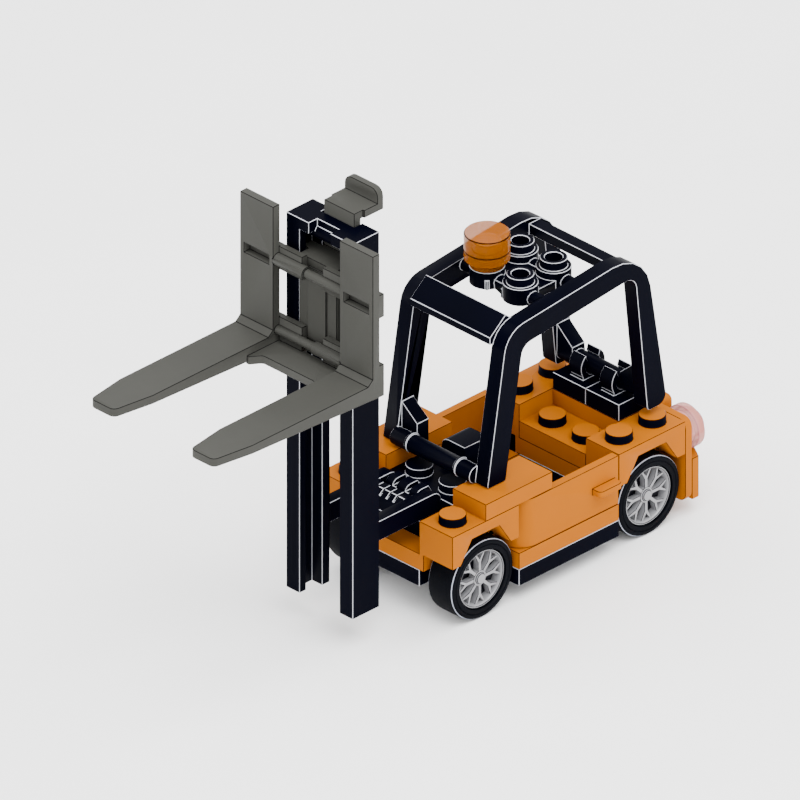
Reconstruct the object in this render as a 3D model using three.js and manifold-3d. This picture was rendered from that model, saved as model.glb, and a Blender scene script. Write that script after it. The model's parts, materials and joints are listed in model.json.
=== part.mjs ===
// Toy forklift made of snap-together bricks. Millimetres, +Z up, forks towards -Y, driver's left at +X.
import * as THREE from 'three';
import { mergeVertices } from 'three/addons/utils/BufferGeometryUtils.js';
import Module from 'manifold-3d';

const wasm = await Module();
wasm.setup();

// ---- driving dimensions ----
const PITCH = 8; // distance between studs
const PLATE = 3.2; // height of one plate
const BRICK = 3 * PLATE;
const STUD_R = 2.4;
const STUD_H = 1.6;
const WALL = 1.5; // side wall of a hollow plate
const HOLLOW = 1.9; // depth of the hollow under a plate
const GAP = 0.3; // play between pieces that move
const TOUCH = 0.1; // play between pieces that only rest together

const CHASSIS_HALF_W = 2 * PITCH;
const WHEEL_Y = 2.5 * PITCH; // front and rear axle distance from the middle
const WHEEL_R = 7.5;
const WHEEL_W = 6;
const WHEEL_INNER_X = 9.3;
const RIM_R = 5.5;
const PIN_R = 1.6;
const SPOKES = 8;

const Z1 = PLATE; // underside of the dropped floor
const Z2 = 2 * PLATE;
const Z3 = 3 * PLATE;
const Z4 = 4 * PLATE;
const Z5 = 5 * PLATE;
const Z6 = 6 * PLATE; // top of the mudguards and doors
const Z7 = 7 * PLATE; // top of the front tiles and clip plates

const DOOR_PIVOT = { x: 1.5 * PITCH, y: -PITCH, r: PITCH / 2 };
const DOOR_T = 1.6;

const MAST_Y0 = -44; // front face
const MAST_Y1 = -37.6; // rear face
const MAST_TOP = 80;
const RAIL_W = 3.2;
const MAST_AXIS = { y: -23, z: 19.9, r: 1.9 };
const MAST_PIN_R = 0.9;

const CAGE_X0 = 9.4; // inner face of a side frame
const CAGE_X1 = 12.6;
const BAR_R = 1.6;
const CAGE_AXIS = { y: 24, z: 24.6 };
const FRONT_BAR = { y: -16, z: 24.1 };
const ROOF_STUD_Y = [0.3, 8.3];
const ROOF_PAD_Z = 49.95;
const ROOF_STUD_Z = 53.15;

const TINE_X0 = 8;
const TINE_X1 = 16;
const TINE_BACK = -45.5;
const TINE_TOP_Z = 57;
const TINE_LOW_Z = 53.9;
const FORK_TIP = -84.3;
const REAR_END = 36;

const ORANGE = { color: 0xff8c0d, roughness: 0.35, metalness: 0 };
const BLACK = { color: 0x02040f, roughness: 0.4, metalness: 0 };
const DARK_GREY = { color: 0x696964, roughness: 0.4, metalness: 0 };
const LIGHT_GREY = { color: 0xaaaaac, roughness: 0.35, metalness: 0.1 };
const TYRE = { color: 0x0a0b10, roughness: 0.8, metalness: 0 };
const CLEAR_ORANGE = { color: 0xe88a1c, roughness: 0.1, metalness: 0, transparent: true, opacity: 0.7 };
const CLEAR_RED = { color: 0xfad7dc, roughness: 0.1, metalness: 0, transparent: true, opacity: 0.7 };

// ---- solids ----
function solid(geometry) {
  geometry.deleteAttribute('normal');
  geometry.deleteAttribute('uv');
  const merged = mergeVertices(geometry, 1e-4);
  const mesh = new wasm.Mesh({
    numProp: 3,
    vertProperties: new Float32Array(merged.attributes.position.array),
    triVerts: new Uint32Array(merged.index.array),
  });
  return new wasm.Manifold(mesh);
}

function join(...items) {
  return items.reduce((all, item) => all.add(item));
}

function cut(body, ...tools) {
  return tools.reduce((left, tool) => left.subtract(tool), body);
}

function block(x0, x1, y0, y1, z0, z1) {
  const geometry = new THREE.BoxGeometry(Math.abs(x1 - x0), y1 - y0, z1 - z0);
  geometry.translate((x0 + x1) / 2, (y0 + y1) / 2, (z0 + z1) / 2);
  return solid(geometry);
}

// A cylinder along an axis, from a to b, centred on the other two coordinates.
function rod(axis, r, a, b, u, v, segments = 24, r2 = r) {
  const geometry = new THREE.CylinderGeometry(r2, r, Math.abs(b - a), segments);
  const middle = (a + b) / 2;
  if (axis === 'x') {
    geometry.rotateZ(-Math.PI / 2);
    geometry.translate(middle, u, v);
  } else if (axis === 'y') {
    geometry.translate(u, middle, v);
  } else {
    geometry.rotateX(Math.PI / 2);
    geometry.translate(u, v, middle);
  }
  return solid(geometry);
}

// Outline [[u, v, radius]...] with rounded corners, extruded along one axis from a to b.
function outline(points, steps = 4) {
  const shape = new THREE.Shape();
  points.forEach(([u, v, radius = 0], i) => {
    const here = new THREE.Vector2(u, v);
    const before = new THREE.Vector2(...points.at(i - 1).slice(0, 2));
    const after = new THREE.Vector2(...points[(i + 1) % points.length].slice(0, 2));
    const toBefore = before.sub(here).normalize();
    const toAfter = after.sub(here).normalize();
    const half = toBefore.angleTo(toAfter) / 2;
    const reach = radius / Math.tan(half);
    const start = here.clone().addScaledVector(toBefore, reach);
    const end = here.clone().addScaledVector(toAfter, reach);
    if (i === 0) shape.moveTo(start.x, start.y);
    else shape.lineTo(start.x, start.y);
    if (radius > 0) {
      const middle = toBefore.add(toAfter).normalize().multiplyScalar(radius / Math.sin(half)).add(here);
      const from = Math.atan2(start.y - middle.y, start.x - middle.x);
      const turn = Math.atan2(end.y - middle.y, end.x - middle.x) - from;
      const sweep = Math.atan2(Math.sin(turn), Math.cos(turn));
      for (let k = 1; k <= steps; k += 1) {
        const angle = from + (sweep * k) / steps;
        shape.lineTo(middle.x + radius * Math.cos(angle), middle.y + radius * Math.sin(angle));
      }
    }
  });
  return shape;
}

function prism(axis, points, a, b, steps) {
  const low = Math.min(a, b);
  const depth = Math.abs(b - a);
  const geometry = new THREE.ExtrudeGeometry(outline(points, steps), { depth, bevelEnabled: false });
  if (axis === 'x') {
    geometry.applyMatrix4(new THREE.Matrix4().set(0, 0, 1, low, 1, 0, 0, 0, 0, 1, 0, 0, 0, 0, 0, 1));
  } else if (axis === 'y') {
    geometry.applyMatrix4(new THREE.Matrix4().set(1, 0, 0, 0, 0, 0, -1, low + depth, 0, 1, 0, 0, 0, 0, 0, 1));
  } else {
    geometry.translate(0, 0, low);
  }
  return solid(geometry);
}

// A ring or disc turned about the X axis: profile [[x, r]...], closed.
function turned(profile, y, z, segments = 28) {
  const points = profile.map(([x, r]) => new THREE.Vector2(r, x));
  if (THREE.ShapeUtils.area(points) < 0) points.reverse();
  points.push(points[0]);
  const geometry = new THREE.LatheGeometry(points, segments);
  geometry.rotateZ(-Math.PI / 2);
  geometry.translate(0, y, z);
  return solid(geometry);
}

function stud(x, y, z, segments = 20) {
  return rod('z', STUD_R, z - 0.2, z + STUD_H, x, y, segments);
}

// A rear-facing stud on a plate whose rear face is at y.
function rearStud(x, y, z) {
  return rod('y', STUD_R, y - 0.2, y + STUD_H, x, z, 12);
}

// A block with an open hollow underneath, as every plate has.
function plate(x0, x1, y0, y1, z0, z1, depth = HOLLOW) {
  const outer = block(x0, x1, y0, y1, z0, z1);
  const left = Math.min(x0, x1) + WALL;
  const right = Math.max(x0, x1) - WALL;
  return cut(outer, block(left, right, y0 + WALL, y1 - WALL, z0 - 1, z0 + depth));
}

function sides(make) {
  return [make(1), make(-1)];
}

// ---- scene graph ----
const group = new THREE.Group();
const truck = new THREE.Group();
truck.position.set(0, -(FORK_TIP + REAR_END) / 2, 0);
group.add(truck);

function node(name, body, finish) {
  const mesh = body.getMesh();
  const geometry = new THREE.BufferGeometry();
  geometry.setAttribute('position', new THREE.BufferAttribute(mesh.vertProperties, 3));
  geometry.setIndex(new THREE.BufferAttribute(mesh.triVerts, 1));
  geometry.computeVertexNormals();
  const item = new THREE.Mesh(geometry, new THREE.MeshStandardMaterial(finish));
  item.name = name;
  truck.add(item);
}

// ---- chassis ----
// The floor hangs one plate below the two end sections, which carry the wheel pins.
function base() {
  const floor = block(-CHASSIS_HALF_W, CHASSIS_HALF_W, -12, 12, Z1, Z2);
  const ends = [-1, 1].map((end) => {
    const near = Math.min(end * 12, end * 28);
    const riserY = end * 12.75;
    const riser = block(-8, 8, riserY - 0.85, riserY + 0.85, Z1, Z2 + 0.2);
    const axle = block(-8, 8, end * WHEEL_Y - 2.4, end * WHEEL_Y + 2.4, 5.2, Z2 + 1.8);
    const pins = sides((side) => rod('x', PIN_R, side * 7.5, side * 13.1, end * WHEEL_Y, WHEEL_R, 16));
    return join(plate(-8, 8, near, near + 16, Z2, Z3), riser, axle, ...pins);
  });
  const floorStuds = [-4, 4, -12, 12].flatMap((x) => [0, PITCH].map((y) => stud(x, y, Z2, 12)));
  const endStuds = [-4, 4].flatMap((x) => [-24, -16, 16, 24].map((y) => stud(x, y, Z3, 8)));
  return join(floor, ...ends, ...floorStuds, ...endStuds);
}

function sill(side) {
  const body = plate(side * 8, side * 16, -12, 12, Z2, Z3, HOLLOW);
  return join(body, stud(side * DOOR_PIVOT.x, DOOR_PIVOT.y, Z3));
}

// One end's mudguards: a middle plate, two arched side blocks and the webs behind the wheels.
function mudguard(end) {
  const y0 = end < 0 ? -28 : 12;
  const y1 = y0 + 2 * PITCH;
  const axleY = end * WHEEL_Y;
  const middle = plate(-8, 8, y0, y1, Z3, Z4);
  const parts = sides((side) => {
    const arch = prism('x', [
      [y0, Z4], [axleY - 6, Z4], [axleY - 3.3, 17], [axleY + 3.3, 17], [axleY + 6, Z4], [y1, Z4],
      [y1, Z6], [y0, Z6],
    ], side * 8, side * 16);
    const web = block(side * 8, side * 9, y0, y1, Z3, Z6);
    const studs = [y0 + 4, y1 - 4].map((y) => stud(side * 12, y, Z6));
    return join(arch, web, ...studs);
  });
  const overlap = block(-8.2, 8.2, y0 + 0.4, y0 + 1.2, Z3, Z4);
  const studs = [-4, 4].flatMap((x) => (end < 0 ? [-16] : [16, 24]).map((y) => stud(x, y, Z4, 8)));
  return join(middle, overlap, ...parts, ...studs);
}

function hingePlate() {
  const body = plate(-8, 8, -20, -12, Z5, Z6);
  const lugs = prism('x', [
    [-20, Z5], [-20, Z6], [-21.4, 21.8, 0.4], [-24.4, 21.8, 1.4], [-24.9, 18.4, 1.2], [-22.4, Z5 + 0.8, 0.4],
  ], -3.7, 3.7);
  const web = block(-3.7, 3.7, -20.6, -19, Z5, Z6);
  const pins = rod('x', MAST_PIN_R, -5.6, 5.6, MAST_AXIS.y, MAST_AXIS.z, 16);
  const grooves = [-1.5, 1.5].map((x) => block(x - 0.4, x + 0.4, -26, -21.2, 20.8, 23));
  const studs = [-4, 4].map((x) => stud(x, -16, Z6));
  return join(cut(join(body, lugs, web), ...grooves), pins, ...studs);
}

function dashboard() {
  const foot = plate(-3.9, 3.9, -7.9 - PITCH / 2, -0.1 - PITCH / 2, Z2, Z6, BRICK);
  const head = prism('y', [
    [-3.9, Z6 - 1], [3.9, Z6 - 1], [3.9, 24, 1.6], [-3.9, 24, 1.6],
  ], -10.8, -5);
  return join(foot, head);
}

function rearBracket() {
  const shelf = plate(-8, 8, 20, 28, Z5, Z6);
  const wall = prism('y', [[-16, Z1, 1.6], [16, Z1, 1.6], [16, Z6, 1.6], [-16, Z6, 1.6]], 28, 29.6);
  const bridge = block(-8, 8, 27.2, 28.4, Z5, Z6);
  const seats = [-4, 4].map((x) => stud(x, 24, Z6));
  const studs = [-12, -4, 4, 12].flatMap((x) => [7.2, 15.2].map((z) => rearStud(x, 29.6, z)));
  return join(shelf, wall, bridge, ...seats, ...studs);
}

function clipPlate(side) {
  const body = plate(side * 0.05, side * 7.95, 20, 28, Z6, Z7);
  const ring = rod('x', 2.9, side * 2.2, side * 5.2, CAGE_AXIS.y, CAGE_AXIS.z, 24);
  const foot = block(side * 2.2, side * 5.2, CAGE_AXIS.y - 2.4, CAGE_AXIS.y + 2.4, Z7 - 0.5, 23.6);
  const bore = rod('x', BAR_R + 0.15, side * 2, side * 5.4, CAGE_AXIS.y, CAGE_AXIS.z, 24);
  const mouth = prism('x', [
    [CAGE_AXIS.y - 0.9, CAGE_AXIS.z], [CAGE_AXIS.y + 0.9, CAGE_AXIS.z],
    [CAGE_AXIS.y + 2.2, CAGE_AXIS.z + 4], [CAGE_AXIS.y - 2.2, CAGE_AXIS.z + 4],
  ], side * 2, side * 5.4);
  const below = block(side * 1.55, side * 6.4, 21.5, 26.5, Z6 - 1, Z6 + HOLLOW);
  return cut(join(body, foot, cut(ring, below)), bore, mouth);
}

function tailLight(side) {
  const x = side * 12;
  const disc = rod('y', 4, 31.2, 32.8, x, 15.2, 32);
  const foot = rod('y', 3.1, 29.6, 31.3, x, 15.2, 32);
  const socket = rod('y', STUD_R + 0.05, 29, 29.6 + STUD_H + 0.1, x, 15.2, 16);
  const front = rod('y', STUD_R, 32.7, 34.2, x, 15.2, 16);
  return join(cut(join(disc, foot), socket), front);
}

// A counterweight wedge, thin at the outer edge and deep beside the middle block.
function rearSlope(side) {
  const wedge = prism('z', side > 0
    ? [[8, 29.6], [16, 29.6], [16, 31.2], [8.05, REAR_END]]
    : [[-16, 29.6], [-8, 29.6], [-8.05, REAR_END], [-16, 31.2]], Z1, 11.2);
  return cut(wedge, rod('y', STUD_R + 0.05, 29, 29.6 + STUD_H + 0.1, side * 12, 7.2, 20));
}

function rearBlock() {
  const body = prism('z', [
    [-7.95, 29.6], [7.95, 29.6], [7.95, REAR_END, 0.6], [-7.95, REAR_END, 0.6],
  ], Z1, 11.2);
  return cut(body, ...[-4, 4].map((x) => rod('y', STUD_R + 0.05, 29, 31.3, x, 7.2, 12)));
}

function rearCover() {
  const body = prism('y', [[-8, 11.3], [8, 11.3], [8, Z6, 1], [-8, Z6, 1]], 29.6, 32.8);
  return cut(body, ...[-4, 4].map((x) => rod('y', STUD_R + 0.05, 29, 31.3, x, 15.2, 12)));
}

// ---- doors ----
function door(side) {
  const { x, y, r } = DOOR_PIVOT;
  const low = Z3 + TOUCH;
  const high = Z6 - TOUCH;
  const barrel = rod('z', r, low, high, side * x, y, 32);
  const panel = block(side * (16 - DOOR_T), side * 16, y, 12 - TOUCH, low, high);
  const rib = block(side * 13, side * 16, y, y + 2.2, low, high);
  const handle = prism('z', [
    [side * 15.5, 5.6], [side * 18, 5.6, 0.8], [side * 18, 11, 0.8], [side * 15.5, 11],
  ], 13.9, 15.1);
  const socket = rod('z', STUD_R + TOUCH, low - 1, Z3 + STUD_H + 0.2, side * x, y, 20);
  const shape = cut(join(barrel, panel, rib, handle), socket);
  return join(shape, rod('z', STUD_R - 0.1, high - 0.2, Z6 + 1.4, side * x, y, 20));
}

function frontTile(side) {
  return plate(side * 8, side * 16, -20, -4, Z6, Z7);
}

// ---- wheels ----
function tyre(x, y) {
  const inner = Math.sign(x) * WHEEL_INNER_X;
  const outer = inner + Math.sign(x) * WHEEL_W;
  const shoulder = Math.sign(x) * 0.7;
  return turned([
    [inner, RIM_R + TOUCH], [inner, WHEEL_R - 0.6], [inner + shoulder, WHEEL_R],
    [outer - shoulder, WHEEL_R], [outer, WHEEL_R - 0.6], [outer, RIM_R + TOUCH],
  ], y, WHEEL_R);
}

// Dished rim: a barrel, a face with Y-shaped spokes and a hub with a blind bore for the pin.
function rim(x, y) {
  const side = Math.sign(x);
  const back = side * (WHEEL_INNER_X + GAP);
  const face = side * 15;
  const body = turned([
    [back, RIM_R - 0.6], [back, RIM_R], [face, RIM_R], [face, RIM_R - 0.5], [face - side * 0.6, RIM_R - 0.7],
    [face - side * 0.6, 1.1], [face, 0.9], [face, 0], [face - side * 1.6, 0],
    [face - side * 1.6, RIM_R - 0.6],
  ], y, WHEEL_R);
  const hub = turned([
    [back, PIN_R + GAP], [back, 2.8], [face - side, 2.8], [face - side, PIN_R + GAP],
  ], y, WHEEL_R, 16);
  const slots = [];
  for (let k = 0; k < SPOKES; k += 1) {
    const angle = ((k + 0.5) * 2 * Math.PI) / SPOKES;
    const slot = prism('x', [
      [-0.35, 1.9], [0.35, 1.9], [1, 4.5, 0.3], [-1, 4.5, 0.3],
    ], face - side * 2, face + side, 2);
    slots.push(slot.rotate([(angle * 180) / Math.PI, 0, 0]).translate([0, y, WHEEL_R]));
    const notch = prism('x', [[0, 3.5], [0.35, 4.5], [-0.35, 4.5]], face - side * 2, face + side);
    slots.push(notch.rotate([(k * 360) / SPOKES, 0, 0]).translate([0, y, WHEEL_R]));
  }
  return join(cut(body, ...slots), hub);
}

// ---- roll cage and beacon ----
function sideFrame(side) {
  return prism('x', [
    [-16.2, 22.5, 0.4], [-11.45, 51.3, 5], [21.8, 54.4, 8.5], [27, 22.2, 1.8],
    [22.3, 22.2, 0.8], [19.4, 49.9, 2.4], [-7.7, 47.25, 2.4], [-11.8, 22.5, 0.4],
  ], side * CAGE_X0, side * CAGE_X1, 5);
}

function rollCage() {
  const frames = sides(sideFrame);
  const { y: barY, z: barZ } = FRONT_BAR;
  const frontBar = rod('x', BAR_R, -9.6, 9.6, barY, barZ, 20);
  const rings = sides((side) => rod('x', BAR_R + 0.15, side * 5.6, side * 6.1, barY, barZ + 0.15, 20));
  const gussets = sides((side) => prism('y', [
    [side * 5.7, 22.7], [side * 5.7, 27.3], [side * 9.6, 30.4], [side * 9.6, 22.7],
  ], barY + 1.2, barY + 4));
  const rearBar = rod('x', BAR_R, -9.6, 9.6, CAGE_AXIS.y, CAGE_AXIS.z, 16);
  const rearGussets = sides((side) => prism('y', [
    [side * 5.7, CAGE_AXIS.z], [side * 5.7, 27], [side * 9.6, 30.4], [side * 9.6, CAGE_AXIS.z],
  ], CAGE_AXIS.y - 1.5, CAGE_AXIS.y + 1.5));
  const roofFront = prism('x', [
    [-12.6, 48.1], [-12.6, 49.5], [-8.8, 52.6], [-7.4, 51.4], [-9.6, 48.1],
  ], -9.6, 9.6);
  const roofRear = block(-9.6, 9.6, 15.8, 18.4, 50.6, 52.6);
  const [y0, y1] = ROOF_STUD_Y;
  const middleY = (y0 + y1) / 2;
  const pad = cut(
    prism('z', [[-6.4, y0 - 2.4, 2.3], [6.4, y0 - 2.4, 2.3], [6.4, y1 + 2.4, 2.3], [-6.4, y1 + 2.4, 2.3]],
      ROOF_PAD_Z, ROOF_STUD_Z - 1.4),
    block(-1.6, 1.6, y0 - 3, y0 - 1.1, ROOF_PAD_Z - 1, ROOF_STUD_Z + 1),
    block(-1.6, 1.6, y1 + 1.1, y1 + 3, ROOF_PAD_Z - 1, ROOF_STUD_Z + 1),
    rod('z', 1.6, ROOF_PAD_Z - 1, ROOF_STUD_Z, 0, middleY, 16),
  );
  const posts = [-4, 4].flatMap((x) => ROOF_STUD_Y.map((y) => (
    join(rod('z', 3.1, ROOF_PAD_Z, ROOF_STUD_Z, x, y, 20), stud(x, y, ROOF_STUD_Z)))));
  const bores = [-4, 4].flatMap((x) => ROOF_STUD_Y.map((y) => rod('z', 1.6, 48, 56, x, y, 12)));
  const arms = ROOF_STUD_Y.map((y) => rod('x', 1.2, -9.6, 9.6, y, ROOF_PAD_Z + 1.2, 12));
  const body = join(...frames, frontBar, ...rings, ...gussets, rearBar, ...rearGussets, roofFront, roofRear,
    ...arms, pad, ...posts);
  return cut(body, ...bores);
}

const BEACON = { x: -4, y: ROOF_STUD_Y[0], z: ROOF_STUD_Z };

function beaconPlate() {
  const { x, y, z } = BEACON;
  const foot = rod('z', 3.05, z, z + 1.5, x, y, 24);
  const flange = rod('z', 4, z + 1.3, z + PLATE, x, y, 32);
  const socket = rod('z', STUD_R + TOUCH, z - 1, z + STUD_H + TOUCH, x, y, 20);
  return join(cut(join(foot, flange), socket), stud(x, y, z + PLATE));
}

function beaconCap() {
  const { x, y, z } = BEACON;
  const low = z + PLATE;
  const cap = rod('z', 4, low, low + PLATE, x, y, 32);
  return cut(cap, rod('z', STUD_R + TOUCH, low - 1, low + STUD_H + TOUCH, x, y, 20));
}

// ---- mast ----
function mast() {
  const rails = sides((side) => cut(
    block(side * (PITCH - RAIL_W), side * PITCH, MAST_Y0, MAST_Y1, Z2, MAST_TOP),
    block(side * 4, side * 6.4, -42.4, -39.4, Z2 - 1, 77.8),
  ));
  const flanges = sides((side) => block(side * 3.95, side * 5, -39.4, MAST_Y1, Z2, MAST_TOP));
  const top = cut(
    block(-PITCH, PITCH, MAST_Y0, MAST_Y1, 77.8, MAST_TOP),
    block(-2.6, 2.6, MAST_Y0 - 1, -41.9, 77, MAST_TOP + 1),
    block(-3.95, 3.95, -39.6, MAST_Y1 + 1, 77, MAST_TOP + 1),
  );
  const rib = rod('x', 1.5, -4.9, 4.9, -41, 77.4, 16);
  const armEnd = MAST_AXIS.y + MAST_AXIS.r;
  const arms = sides((side) => {
    const arm = prism('x', [
      [MAST_Y1 - 0.2, 18], [armEnd, 18, 1.8], [armEnd, 21.8, 1.8], [MAST_Y1 - 0.2, 21.8],
    ], side * 4, side * 6.4);
    return cut(arm, rod('x', MAST_PIN_R + GAP, side * 3, side * 5.9, MAST_AXIS.y, MAST_AXIS.z, 16));
  });
  const web = cut(
    prism('x', [[-30.5, 18], [-25.9, 18], [-25.9, 21.8], [-27.6, 21.8], [-30.5, 19.6]], -4.2, 4.2),
    ...[-2.4, -0.8, 0.8, 2.4].map((x) => block(x - 0.15, x + 0.15, -31, -25, 21, 23)),
  );
  return join(...rails, ...flanges, top, rib, ...arms, web);
}

// ---- carriage and forks ----
function carriage() {
  const slider = block(-6.1, 6.1, -42.1, -39.7, 55, 73.5);
  const panel = block(-4.5, 4.5, -44.4, -42, 55, 73.5);
  const rib = block(-2.2, 2.2, -44.7, -44, 58, 72);
  const tongue = block(-3.65, 3.65, -39.3, -37.7, 56, 81);
  const neck = block(-3.65, 3.65, -39.9, -39.1, 56, 73.5);
  const shelf = join(
    block(-3.65, 3.65, -39.3, -36.8, 80.8, 82.3),
    block(-4, 4, -37.2, -32.6, 80.8, 82.3),
  );
  const grip = prism('y', [[-4, 81], [4, 81], [4, 85, 1.6], [-4, 85, 1.6]], -34, -32.6);
  return join(slider, panel, rib, neck, tongue, shelf, grip);
}

function forks() {
  const tines = sides((side) => {
    const run = prism('x', [
      [TINE_BACK, TINE_LOW_Z], [TINE_BACK, TINE_TOP_Z + 1], [-47.15, TINE_TOP_Z + 1], [-48.3, TINE_TOP_Z],
      [FORK_TIP, TINE_TOP_Z], [FORK_TIP, TINE_TOP_Z - 1.6], [-75.9, 55.3],
    ], side * TINE_X0, side * TINE_X1);
    const plan = prism('z', [
      [side * TINE_X0, TINE_BACK + 1], [side * TINE_X0, -76], [side * 9.2, FORK_TIP, 1.2],
      [side * 14.8, FORK_TIP, 1.2], [side * TINE_X1, -76], [side * TINE_X1, TINE_BACK + 1],
    ], TINE_LOW_Z - 1, TINE_TOP_Z + 3);
    const post = block(side * TINE_X0, side * TINE_X1, -47.15, TINE_BACK, TINE_LOW_Z, 82.1);
    const slot = block(side * 9, side * 15, -48, TINE_BACK + 0.5, 70.5, 72.4);
    return cut(join(run.intersect(plan), post), slot);
  });
  const backs = [[69.4, 73.9], [TINE_LOW_Z, 60.1]].map(([low, high]) => cut(
    block(-16, 16, TINE_BACK - 0.2, -44.4, low, high),
    block(-2.5, 2.5, TINE_BACK - 1, -44, low - 1, high + 1),
  ));
  const tubes = [71.6, 57.8].flatMap((z, i) => {
    const side = i === 0 ? -1 : 1;
    return [
      rod('x', 0.8, -8.2, 8.2, -46.1, z, 16),
      rod('x', 1.15, side * 1, side * 8.2, -46.1, z, 16),
    ];
  });
  const web = prism('z', [
    [-8.3, -45.3], [-8.3, -53.4], [-7.6, -53.4, 0.3], [-6.2, -51.4, 1], [6.2, -51.4, 1], [7.6, -53.4, 0.3],
    [8.3, -53.4], [8.3, -45.3],
  ], TINE_LOW_Z, TINE_LOW_Z + 1.6);
  return join(...tines, ...backs, ...tubes, web);
}

// ---- the assembly ----
node('base', base(), BLACK);
node('mudguard_front', mudguard(-1), ORANGE);
node('mudguard_rear', mudguard(1), ORANGE);
node('front_spacer', plate(-8, 8, -24, -12, Z4, Z5), BLACK);
node('hinge_plate', hingePlate(), BLACK);
node('dashboard', dashboard(), BLACK);
node('rear_plate', join(
  plate(-8, 8, 12, 28, Z4, Z5),
  ...[-4, 4].flatMap((x) => [16, 24].map((y) => stud(x, y, Z5))),
), ORANGE);
node('rear_bracket', rearBracket(), ORANGE);
node('rear_cover', rearCover(), ORANGE);
node('rear_block', rearBlock(), ORANGE);
for (const [word, side] of [['left', 1], ['right', -1]]) {
  node(`sill_${word}`, sill(side), ORANGE);
  node(`door_${word}`, door(side), ORANGE);
  node(`front_tile_${word}`, frontTile(side), ORANGE);
  node(`clip_plate_${word}`, clipPlate(side), BLACK);
  node(`tail_light_${word}`, tailLight(side), CLEAR_RED);
  node(`rear_slope_${word}`, rearSlope(side), ORANGE);
  for (const [end, y] of [['front', -WHEEL_Y], ['rear', WHEEL_Y]]) {
    node(`tyre_${end}_${word}`, tyre(side, y), TYRE);
    node(`rim_${end}_${word}`, rim(side, y), LIGHT_GREY);
  }
}
node('roll_cage', rollCage(), BLACK);
node('beacon_plate', beaconPlate(), CLEAR_ORANGE);
node('beacon_cap', beaconCap(), CLEAR_ORANGE);
node('mast', mast(), BLACK);
node('carriage', carriage(), DARK_GREY);
node('forks', forks(), DARK_GREY);

export default group;
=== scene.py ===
import json
import math

import bmesh
import bpy
from mathutils import Matrix, Vector

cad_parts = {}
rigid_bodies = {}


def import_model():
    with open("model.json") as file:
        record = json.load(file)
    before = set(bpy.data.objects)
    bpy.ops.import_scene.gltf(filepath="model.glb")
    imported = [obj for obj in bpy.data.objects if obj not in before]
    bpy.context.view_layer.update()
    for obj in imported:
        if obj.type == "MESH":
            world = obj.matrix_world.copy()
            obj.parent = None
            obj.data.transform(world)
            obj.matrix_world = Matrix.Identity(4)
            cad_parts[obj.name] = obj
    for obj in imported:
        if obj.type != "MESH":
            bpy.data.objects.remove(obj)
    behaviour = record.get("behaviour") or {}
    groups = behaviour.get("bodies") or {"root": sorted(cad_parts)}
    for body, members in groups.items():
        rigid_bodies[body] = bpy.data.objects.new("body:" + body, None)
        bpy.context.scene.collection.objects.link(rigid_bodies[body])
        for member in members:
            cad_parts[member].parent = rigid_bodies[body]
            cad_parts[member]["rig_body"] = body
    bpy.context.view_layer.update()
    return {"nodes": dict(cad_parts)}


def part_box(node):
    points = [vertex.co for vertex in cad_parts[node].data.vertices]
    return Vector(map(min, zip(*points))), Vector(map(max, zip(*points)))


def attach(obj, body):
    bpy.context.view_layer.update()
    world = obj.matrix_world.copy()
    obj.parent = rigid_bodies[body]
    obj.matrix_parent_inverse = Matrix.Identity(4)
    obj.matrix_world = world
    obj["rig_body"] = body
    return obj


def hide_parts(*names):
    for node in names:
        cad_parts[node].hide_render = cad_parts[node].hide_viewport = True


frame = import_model()

# ---- sizes, in metres ----
MM = 0.001
PITCH = 8 * MM  # distance between studs
STUD_R = 2.4 * MM
LINE = 0.09 * MM  # how far an edge is broken
RIM_LINE = 0.08 * MM
PLATE_LINE = 0.13 * MM
CAP_LINE = 0.16 * MM
LAMP_LINE = 0.05 * MM
WELD = 0.002 * MM  # vertices nearer than this are one
FLAT_ANGLE = math.radians(0.6)  # faces within this of each other are one flat face
SMOOTH_ANGLE = math.radians(32)
ROUND_STEPS = 72
HUB_STEPS = 36
SPOKES = 8

# ---- stage numbers ----
VIEW_AZIMUTH = math.radians(45)
VIEW_ELEVATION = math.radians(30)
VIEW_WIDTH = 0.13598
VIEW_AIM = Vector((-12.32, 11.83, 28.32)) * MM
VIEW_DISTANCE = 0.6
WORLD_STRENGTH = 2.2
FLOOR_HALF = 4


# ---- materials ----
def srgb(red, green, blue):
    """Linear colour from 0-255 values."""
    def channel(value):
        share = value / 255
        return share / 12.92 if share <= 0.04045 else ((share + 0.055) / 1.055) ** 2.4
    return (channel(red), channel(green), channel(blue), 1.0)


def nodes_of(name):
    material = bpy.data.materials.new(name)
    material.use_nodes = True
    tree = material.node_tree
    return material, tree, tree.nodes["Principled BSDF"]


def noise(tree, scale, detail=3.0, stretch=(1, 1, 1)):
    coordinates = tree.nodes.new("ShaderNodeTexCoord")
    mapping = tree.nodes.new("ShaderNodeMapping")
    mapping.inputs["Scale"].default_value = stretch
    texture = tree.nodes.new("ShaderNodeTexNoise")
    texture.inputs["Scale"].default_value = scale
    texture.inputs["Detail"].default_value = detail
    tree.links.new(coordinates.outputs["Object"], mapping.inputs["Vector"])
    tree.links.new(mapping.outputs["Vector"], texture.inputs["Vector"])
    return texture.outputs["Fac"]


def ramp(tree, source, low, high):
    node = tree.nodes.new("ShaderNodeMapRange")
    node.inputs["To Min"].default_value = low
    node.inputs["To Max"].default_value = high
    tree.links.new(source, node.inputs["Value"])
    return node.outputs["Result"]


def tint(tree, source, dark, light):
    node = tree.nodes.new("ShaderNodeValToRGB")
    node.color_ramp.elements[0].position = 0.3
    node.color_ramp.elements[0].color = dark
    node.color_ramp.elements[1].position = 0.7
    node.color_ramp.elements[1].color = light
    tree.links.new(source, node.inputs["Fac"])
    return node.outputs["Color"]


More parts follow.
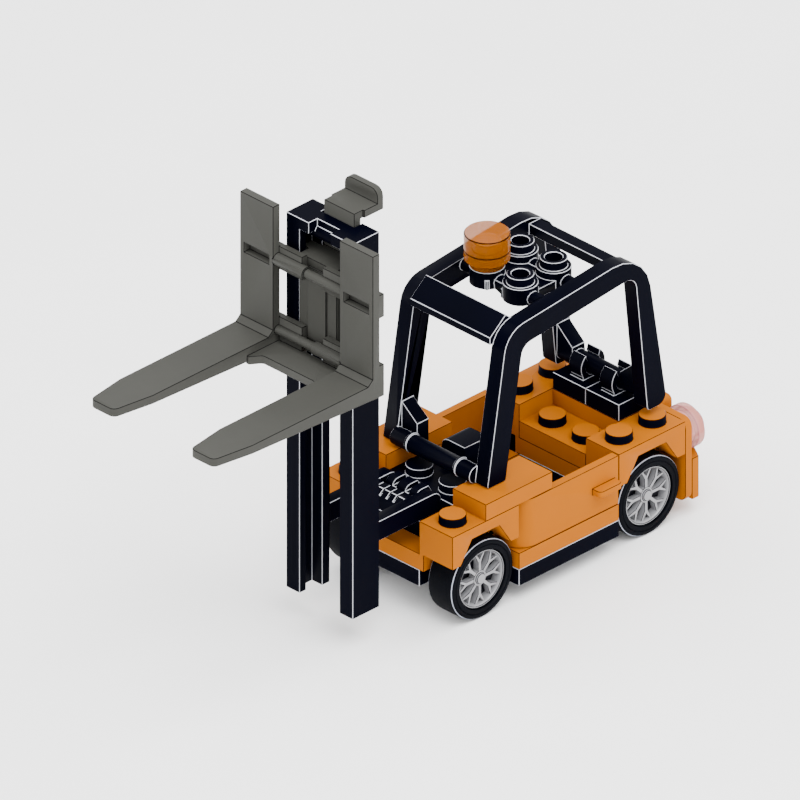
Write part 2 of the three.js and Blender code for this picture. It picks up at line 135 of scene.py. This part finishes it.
def bump(tree, shader, source, strength, distance):
    node = tree.nodes.new("ShaderNodeBump")
    node.inputs["Strength"].default_value = strength
    node.inputs["Distance"].default_value = distance
    tree.links.new(source, node.inputs["Height"])
    tree.links.new(node.outputs["Normal"], shader.inputs["Normal"])


def plastic(name, colour, spread=0.04, roughness=(0.24, 0.36), coat=0.15, grain=0.05, gloss=0.4):
    """Moulded plastic: faint flow marks in the colour, an orange-peel bump and uneven gloss."""
    material, tree, shader = nodes_of(name)
    flow = noise(tree, 90, 4, (1, 1, 0.35))
    dark = tuple(c * (1 - spread) for c in colour[:3]) + (1.0,)
    light = tuple(min(1, c * (1 + spread)) for c in colour[:3]) + (1.0,)
    tree.links.new(tint(tree, flow, dark, light), shader.inputs["Base Color"])
    scuffs = noise(tree, 420, 5)
    tree.links.new(ramp(tree, scuffs, *roughness), shader.inputs["Roughness"])
    bump(tree, shader, noise(tree, 1500, 2), grain, 0.00004)
    shader.inputs["Specular IOR Level"].default_value = gloss
    shader.inputs["Coat Weight"].default_value = coat
    shader.inputs["Coat Roughness"].default_value = 0.12
    return material


def rubber(name, colour):
    """Matt rubber with a dusty bloom."""
    material, tree, shader = nodes_of(name)
    dust = noise(tree, 260, 6)
    light = tuple(c * 1.8 + 0.0006 for c in colour[:3]) + (1.0,)
    tree.links.new(tint(tree, dust, colour, light), shader.inputs["Base Color"])
    tree.links.new(ramp(tree, dust, 0.5, 0.72), shader.inputs["Roughness"])
    bump(tree, shader, noise(tree, 2200, 3), 0.25, 0.00006)
    shader.inputs["Specular IOR Level"].default_value = 0.03
    return material


def clear(name, colour, transmission, alpha):
    """See-through coloured plastic with a faint haze."""
    material, tree, shader = nodes_of(name)
    haze = noise(tree, 500, 3)
    light = tuple(min(1, c * 1.08) for c in colour[:3]) + (1.0,)
    tree.links.new(tint(tree, haze, colour, light), shader.inputs["Base Color"])
    tree.links.new(ramp(tree, haze, 0.05, 0.14), shader.inputs["Roughness"])
    bump(tree, shader, noise(tree, 900, 2), 0.04, 0.00004)
    shader.inputs["Transmission Weight"].default_value = transmission
    shader.inputs["IOR"].default_value = 1.2
    shader.inputs["Specular IOR Level"].default_value = 0.15
    shader.inputs["Alpha"].default_value = alpha
    return material


ORANGE = plastic("orange_plastic", (0.33, 0.09, 0.0, 1.0), 0.03, (0.34, 0.44), 0.0, 0.04, 0.03)
ORANGE_EDGE = plastic("orange_edge", (0.02, 0.003, 0.0005, 1.0), 0.1, gloss=0.02, coat=0)
BLACK = plastic("black_plastic", (0.0003, 0.0005, 0.003, 1.0), 0.2, (0.3, 0.42), 0.0, 0.04, 0.012)
# light grey on the broken edges of black parts: a painted highlight
BLACK_EDGE_HIGHLIGHT = plastic("black_edge_highlight", (0.42, 0.43, 0.47, 1.0), 0.06)
GREY = plastic("dark_grey_plastic", (0.036, 0.036, 0.032, 1.0), 0.05, (0.4, 0.5), 0.0, 0.05, 0.06)
GREY_EDGE = plastic("dark_grey_edge", (0.003, 0.003, 0.003, 1.0), 0.1, gloss=0.02, coat=0)
RIM = plastic("rim_grey", (0.2, 0.2, 0.21, 1.0), 0.05, (0.25, 0.35))
RIM_EDGE = plastic("rim_edge", (0.006, 0.006, 0.008, 1.0), 0.1, gloss=0.02, coat=0)
# painted shadow for the inside of the rims, behind the spokes
RIM_SHADOW_DISC = plastic("rim_shadow", (0.004, 0.004, 0.008, 1.0), 0.1)
RUBBER = rubber("tyre_rubber", (0.0008, 0.001, 0.002, 1.0))
# light grey ring colour for the tyre shoulders: a painted highlight
RUBBER_HIGHLIGHT = rubber("tyre_painted_highlight", srgb(135, 139, 150))
AMBER = clear("beacon_amber", (0.3, 0.08, 0.0, 1.0), 0.25, 0.72)
AMBER_EDGE = plastic("beacon_edge", (0.012, 0.003, 0.0005, 1.0), 0.1, gloss=0.02, coat=0)
PINK = clear("lamp_pink", (0.62, 0.26, 0.22, 1.0), 0.4, 0.8)
PINK_EDGE = clear("lamp_edge", (0.3, 0.09, 0.11, 1.0), 0.1, 0.95)


# ---- meshes ----
def piece(name, mesh, node, finish):
    """A new object that stands for a CAD node and rides on its body."""
    obj = bpy.data.objects.new(name, mesh)
    bpy.context.scene.collection.objects.link(obj)
    for material in finish:
        mesh.materials.append(material)
    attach(obj, frame["nodes"][node]["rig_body"])
    return obj


def shade(obj):
    """Flat faces stay flat and round ones look smooth."""
    mesh = obj.data
    mesh.polygons.foreach_set("use_smooth", [True] * len(mesh.polygons))
    mesh.set_sharp_from_angle(angle=SMOOTH_ANGLE)


def break_edges(bm, width, edge_index):
    """Chamfers every sharp edge by width and gives the new faces the edge material."""
    sharp = [e for e in bm.edges if len(e.link_faces) == 2 and e.calc_face_angle(0) > SMOOTH_ANGLE]
    made = bmesh.ops.bevel(
        bm, geom=sharp, offset=width, offset_type="OFFSET", segments=1, profile=0.5,
        affect="EDGES", clamp_overlap=False, miter_outer="SHARP",
    )
    for face in made["faces"]:
        face.material_index = edge_index


def paint_stud_wall_shade(bm, low, index):
    """Gives the round stud walls painted shade; they are found on the stud grid that starts at the node's
    corner.
    """
    for face in bm.faces:
        centre = face.calc_center_median()
        if abs(face.normal.z) > 0.3 or face.material_index:
            continue
        across = Vector([
            (centre[i] - low[i]) % PITCH - PITCH / 2 for i in (0, 1)
        ])
        outward = Vector(face.normal[:2]).dot(across.normalized()) if across.length else 0
        if 0.93 * STUD_R < across.length < 1.03 * STUD_R and outward > 0.85:
            face.material_index = index


def shell(node, finish, stud_wall_shade=None):
    """The CAD node's own shape with its flat faces whole and its edges broken."""
    bm = bmesh.new()
    bm.from_mesh(frame["nodes"][node].data)
    for face in bm.faces:
        face.material_index = 0
    bmesh.ops.remove_doubles(bm, verts=bm.verts, dist=WELD)
    bmesh.ops.dissolve_limit(
        bm, angle_limit=FLAT_ANGLE, verts=bm.verts, edges=bm.edges, use_dissolve_boundaries=False,
    )
    if stud_wall_shade is not None:
        # painted shade: the round stud walls take the dark third material
        paint_stud_wall_shade(bm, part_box(node)[0], 2)
    break_edges(bm, LINE, 1)
    mesh = bpy.data.meshes.new(node + "_shell")
    bm.to_mesh(mesh)
    bm.free()
    obj = piece(mesh.name, mesh, node, finish if stud_wall_shade is None else (*finish, stud_wall_shade))
    shade(obj)
    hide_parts(node)


# ---- turned pieces ----
def ring_mesh(bm, profile, closed=False, steps=ROUND_STEPS, index=0):
    """Turns a profile of (along, radius) in millimetres about the local Z axis."""
    rows = []
    for along, radius in profile:
        if radius == 0:
            rows.append([bm.verts.new((0, 0, along * MM))] * steps)
            continue
        row = []
        for k in range(steps):
            angle = 2 * math.pi * k / steps
            row.append(bm.verts.new((
                radius * MM * math.cos(angle), radius * MM * math.sin(angle), along * MM,
            )))
        rows.append(row)
    pairs = list(zip(rows, rows[1:])) + ([(rows[-1], rows[0])] if closed else [])
    for low, high in pairs:
        for k in range(steps):
            after = (k + 1) % steps
            corners = [low[k], low[after], high[after], high[k]]
            face = bm.faces.new(list(dict.fromkeys(corners)))
            face.material_index = index


def prism_mesh(bm, outline, low, high, turn):
    """A flat outline of (u, v) in millimetres, turned about local Z and raised from low to high."""
    spin = Matrix.Rotation(turn, 3, "Z")
    rows = [
        [bm.verts.new(spin @ Vector((u * MM, v * MM, z * MM))) for u, v in outline]
        for z in (low, high)
    ]
    count = len(outline)
    bm.faces.new(rows[0][::-1])
    bm.faces.new(rows[1])
    for k in range(count):
        after = (k + 1) % count
        bm.faces.new((rows[0][k], rows[0][after], rows[1][after], rows[1][k]))


def placed(bm, node, axis, finish, width):
    """Finishes a turned piece: local Z goes along axis and the origin to the node's middle."""
    bmesh.ops.recalc_face_normals(bm, faces=bm.faces)
    if width:
        break_edges(bm, width, 1)
    low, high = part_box(node)
    middle = (Vector(low) + Vector(high)) / 2
    turn = Vector((0, 0, 1)).rotation_difference(Vector(axis)).to_matrix().to_4x4()
    bm.transform(Matrix.Translation(middle) @ turn)
    mesh = bpy.data.meshes.new(node + "_fine")
    bm.to_mesh(mesh)
    bm.free()
    obj = piece(mesh.name, mesh, node, finish)
    shade(obj)
    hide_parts(node)


def tyre(node, side):
    """Slick tyre with a bead ring and rounded shoulders, each with a fine light ring of painted highlight.
    """
    low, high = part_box(node)
    half = (high[0] - low[0]) / 2 / MM
    radius = (high[2] - low[2]) / 2 / MM
    bm = bmesh.new()
    ring_mesh(bm, [
        (-half, 5.6), (-half, 6.3), (-half + 0.15, 6.45), (-half, 6.6), (-half, radius - 0.55),
        (-half + 0.12, radius - 0.28), (-half + 0.19, radius - 0.21), (-half + 0.33, radius - 0.1),
        (-half + 0.7, radius), (half - 0.7, radius),
        (half - 0.33, radius - 0.1), (half - 0.19, radius - 0.21), (half - 0.12, radius - 0.28),
        (half, radius - 0.55), (half, 6.6), (half - 0.15, 6.45), (half, 6.3), (half, 5.6),
    ], closed=True)
    # painted highlight: a fine light ring on each shoulder
    for face in bm.faces:
        reach = face.calc_center_median().xy.length / MM
        if radius - 0.21 < reach < radius - 0.1:
            face.material_index = 1
    placed(bm, node, (side, 0, 0), (RUBBER, RUBBER_HIGHLIGHT), 0)


def rim(node, side):
    """Dished wheel rim: lip, barrel, Y-shaped spokes, hub cap and a dark disc behind the spokes as painted
    shadow.
    """
    low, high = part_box(node)
    half = (high[0] - low[0]) / 2 / MM
    bm = bmesh.new()
    ring_mesh(bm, [
        (-half, 4.9), (-half, 5.5), (half - 0.15, 5.5), (half, 5.4), (half, 5.1), (half - 0.5, 4.85),
    ], closed=True)
    # painted shadow: a dark disc behind the spokes where the rim's inside is in shade
    ring_mesh(bm, [(half - 2.2, 0), (half - 2.2, 5), (half - 1.9, 5), (half - 1.9, 0)], index=2)
    spoke = [
        (0.7, -0.36), (3.1, -0.36), (5, -1.38), (5, -0.86), (3.75, 0), (5, 0.86), (5, 1.38),
        (3.1, 0.36), (0.7, 0.36),
    ]
    for k in range(SPOKES):
        prism_mesh(bm, spoke, half - 1.7, half - 0.45, 2 * math.pi * k / SPOKES)
    ring_mesh(bm, [
        (half - 1.8, 0), (half - 1.8, 1.5), (half - 0.4, 1.5), (half - 0.4, 1.05),
        (half - 0.05, 0.95), (half, 0),
    ], steps=HUB_STEPS)
    ring_mesh(bm, [
        (-half, 1.95), (-half, 2.8), (half - 2.1, 2.8), (half - 2.1, 1.95),
    ], closed=True, steps=HUB_STEPS)
    placed(bm, node, (side, 0, 0), (RIM, RIM_EDGE, RIM_SHADOW_DISC), RIM_LINE)


def wheels():
    for end in ("front", "rear"):
        for word, side in (("left", 1), ("right", -1)):
            tyre(f"tyre_{end}_{word}", side)
            rim(f"rim_{end}_{word}", side)


def beacon():
    """Round plate with a narrow foot and stud, under a round cap."""
    low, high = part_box("beacon_plate")
    half = (high[2] - low[2]) / 2 / MM
    bm = bmesh.new()
    ring_mesh(bm, [
        (-half + 1.7, 0), (-half + 1.7, 2.5), (-half, 2.5), (-half, 3.05), (-half + 1.4, 3.05),
        (-half + 1.4, 4), (-half + 3.2, 4), (-half + 3.2, 2.4), (half, 2.4), (half, 0),
    ])
    placed(bm, "beacon_plate", (0, 0, 1), (AMBER, AMBER_EDGE), PLATE_LINE)
    low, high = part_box("beacon_cap")
    half = (high[2] - low[2]) / 2 / MM
    bm = bmesh.new()
    ring_mesh(bm, [
        (-half + 1.7, 0), (-half + 1.7, 2.5), (-half, 2.5), (-half, 4), (half, 4), (half, 0),
    ])
    placed(bm, "beacon_cap", (0, 0, 1), (AMBER, AMBER_EDGE), CAP_LINE)


def tail_lights():
    """Round lamps with a stepped foot, a fine groove in the rim and a stud on the outer face."""
    for word in ("left", "right"):
        node = f"tail_light_{word}"
        low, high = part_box(node)
        half = (high[1] - low[1]) / 2 / MM
        bm = bmesh.new()
        ring_mesh(bm, [
            (-half + 1.7, 0), (-half + 1.7, 2.45), (-half, 2.45), (-half, 3.1), (-half + 1.6, 3.1),
            (-half + 1.6, 3.9), (-half + 1.7, 4), (-half + 3.05, 4), (-half + 3.2, 3.88),
            (-half + 3.2, 3.3), (-half + 3.12, 3.2), (-half + 3.2, 3.1), (-half + 3.2, 2.4),
            (half - 0.1, 2.4), (half, 2.3), (half, 0),
        ])
        placed(bm, node, (0, 1, 0), (PINK, PINK_EDGE), LAMP_LINE)


# ---- brick pieces ----
def bricks():
    orange = (ORANGE, ORANGE_EDGE)
    for node in ("mudguard_front", "mudguard_rear", "rear_plate"):
        # black stud walls on these orange pieces are painted shade
        shell(node, orange, stud_wall_shade=BLACK)
    shell("rear_bracket", orange)
    shell("rear_cover", orange)
    shell("rear_block", orange)
    for word in ("left", "right"):
        for node in ("sill", "door", "front_tile", "rear_slope"):
            shell(f"{node}_{word}", orange)
        shell(f"clip_plate_{word}", (BLACK, BLACK_EDGE_HIGHLIGHT))
    for node in ("base", "front_spacer", "hinge_plate", "dashboard", "roll_cage", "mast"):
        shell(node, (BLACK, BLACK_EDGE_HIGHLIGHT))
    shell("carriage", (GREY, GREY_EDGE))
    shell("forks", (GREY, GREY_EDGE))


# ---- stage ----
def camera():
    """A parallel view from the front left and above."""
    data = bpy.data.cameras.new("camera")
    data.type = "ORTHO"
    data.ortho_scale = VIEW_WIDTH
    data.clip_start = 0.01
    data.clip_end = 5
    obj = bpy.data.objects.new("camera", data)
    bpy.context.scene.collection.objects.link(obj)
    away = Vector((
        math.cos(VIEW_ELEVATION) * math.sin(VIEW_AZIMUTH),
        -math.cos(VIEW_ELEVATION) * math.cos(VIEW_AZIMUTH),
        math.sin(VIEW_ELEVATION),
    ))
    obj.location = VIEW_AIM + away * VIEW_DISTANCE
    obj.rotation_euler = away.to_track_quat("Z", "Y").to_euler()
    bpy.context.scene.camera = obj


def area_light(name, place, power, size):
    data = bpy.data.lights.new(name, "AREA")
    data.energy = power
    data.size = size
    obj = bpy.data.objects.new(name, data)
    bpy.context.scene.collection.objects.link(obj)
    obj.location = place
    obj.rotation_euler = Vector(place).to_track_quat("Z", "Y").to_euler()


def floor():
    bm = bmesh.new()
    bmesh.ops.create_grid(bm, x_segments=1, y_segments=1, size=FLOOR_HALF)
    mesh = bpy.data.meshes.new("floor")
    bm.to_mesh(mesh)
    bm.free()
    obj = bpy.data.objects.new("floor", mesh)
    bpy.context.scene.collection.objects.link(obj)
    material, tree, shader = nodes_of("floor_paper")
    cloud = noise(tree, 30, 2)
    tree.links.new(tint(tree, cloud, srgb(250, 250, 250), srgb(254, 254, 254)), shader.inputs["Base Color"])
    shader.inputs["Roughness"].default_value = 0.95
    mesh.materials.append(material)


def light():
    """Even white surroundings and three soft lamps."""
    world = bpy.data.worlds.new("studio")
    bpy.context.scene.world = world
    world.use_nodes = True
    background = world.node_tree.nodes["Background"]
    background.inputs["Color"].default_value = (1, 1, 1, 1)
    background.inputs["Strength"].default_value = WORLD_STRENGTH
    area_light("key", (0.3, -0.1, 0.7), 8, 0.5)
    area_light("fill", (-0.5, -0.4, 0.5), 3, 0.6)
    area_light("back", (0.1, 0.6, 0.5), 3, 0.5)


camera()
bricks()
wheels()
beacon()
tail_lights()
floor()
light()
